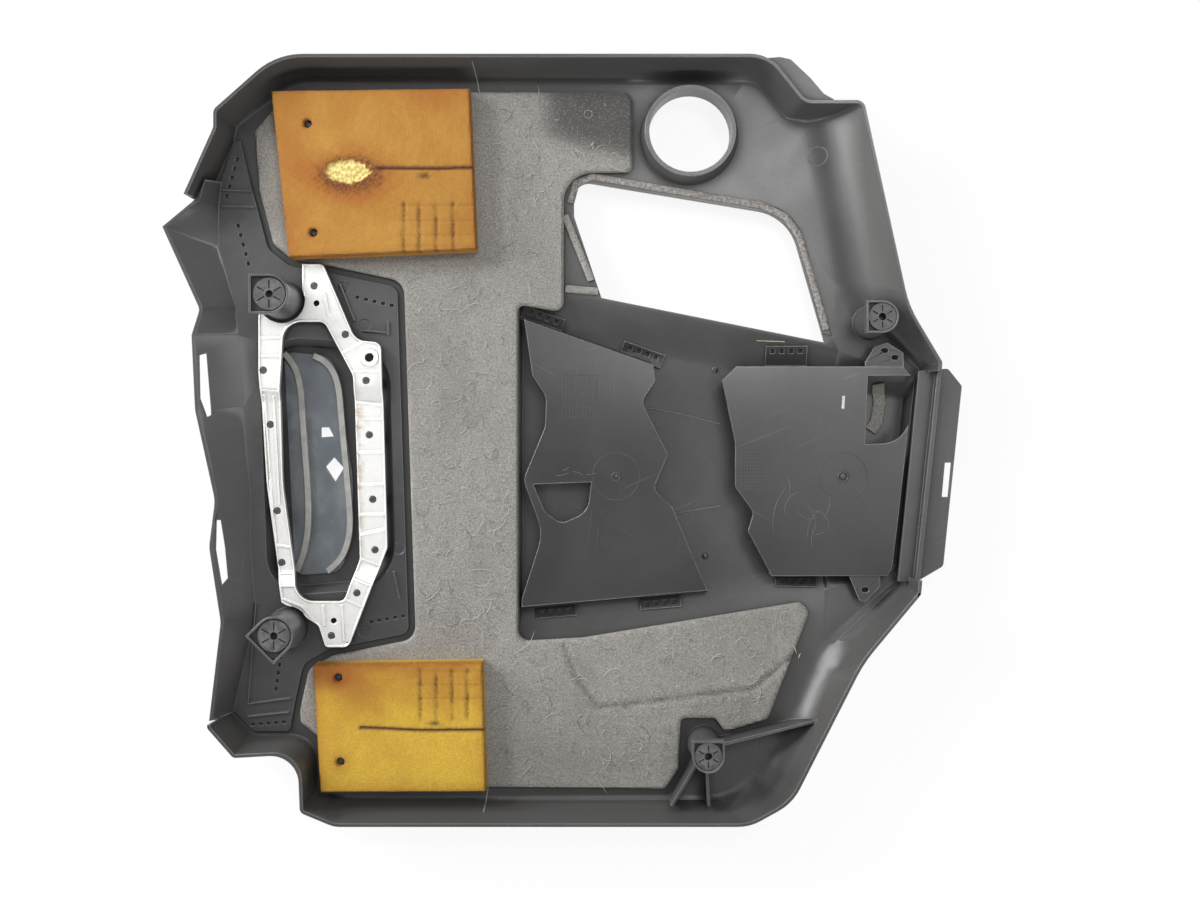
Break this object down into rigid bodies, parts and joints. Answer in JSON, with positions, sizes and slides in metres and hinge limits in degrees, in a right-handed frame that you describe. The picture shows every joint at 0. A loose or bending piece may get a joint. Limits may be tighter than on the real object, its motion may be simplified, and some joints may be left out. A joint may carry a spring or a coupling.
{
  "type": "engine cover",
  "caption": "Moulded car engine cover lying face down, with felt mat, foam pads, cast stiffener ring, air trough plates, filler collar, window and rubber ball sockets on towers.",
  "frame": {"origin": "middle of the cover's outline, on the surface that it lies on face down", "axes": "+Z to the engine side, up as it lies in the picture; +X to the rear of the car; +Y to the left of the car"},
  "size_m": [0.6846, 0.651, 0.066],
  "materials": {
    "shell_plastic": "fine-grained black moulding, dusty",
    "bezel_plastic": "satin black moulding, dusty",
    "cast_aluminium": "bare die casting with brown stains",
    "badge_plastic": "glossy, broken through",
    "strip_plastic": "satin grey",
    "felt": "pressed fibre felt",
    "foam": "aged amber foam with pressed marks",
    "duct_plastic": "smooth satin black",
    "rubber": "matte black rubber"
  },
  "bodies": {
    "root": {"main_shell": "shell_plastic", "front_bezel": "bezel_plastic", "stiffener_frame": "cast_aluminium", "emblem_plate": "badge_plastic", "trim_strip_front": "strip_plastic", "trim_strip_rear": "strip_plastic", "felt_mat": "felt", "foam_pad_left": "foam", "foam_pad_right": "foam", "front_air_guide": "duct_plastic", "rear_air_duct": "duct_plastic", "grommet_front_left": "rubber", "grommet_front_right": "rubber", "grommet_rear_left": "rubber", "grommet_rear_right": "rubber"}
  },
  "joints": []
}
